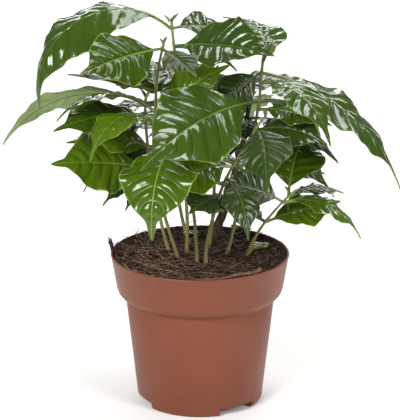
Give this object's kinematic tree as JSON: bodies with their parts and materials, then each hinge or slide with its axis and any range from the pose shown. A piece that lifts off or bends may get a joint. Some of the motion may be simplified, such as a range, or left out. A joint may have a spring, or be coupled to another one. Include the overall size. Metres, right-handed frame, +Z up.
{
  "type": "potted coffee plant",
  "caption": "Young coffee plant: a clump of slender seedlings with broad, glossy, wavy-edged leaves in a round tapered nursery pot with a collar, filled with coir.",
  "frame": {"origin": "middle of the pot's flat underside", "axes": "+Z up, the front of the plant at -Y, +X to the right seen from the front"},
  "size_m": [0.2685, 0.1951, 0.2705],
  "materials": {
    "pot": "satin moulded polypropylene, terracotta coloured",
    "coir": "rough fibrous coir",
    "green_stem": "smooth young stem",
    "bark": "rough bark",
    "foliage": "glossy waxy leaf"
  },
  "bodies": {
    "root": {"pot": "pot", "coir": "coir", "stem_centre_tall": "green_stem", "stem_left_tall": "green_stem", "stem_right_tall": "green_stem", "stem_right_low": "green_stem", "stem_front_left": "green_stem", "stem_front_right": "green_stem", "stem_left_back": "green_stem", "stem_middle": "green_stem", "stem_back_left": "green_stem", "stem_old_woody": "bark", "leaves_centre_tall": "foliage", "leaves_left_tall": "foliage", "leaves_right_tall": "foliage", "leaves_right_low": "foliage", "leaves_front_left": "foliage", "leaves_front_right": "foliage", "leaves_left_back": "foliage", "leaves_middle": "foliage", "leaves_back_left": "foliage", "leaves_old_woody": "foliage"}
  },
  "joints": []
}
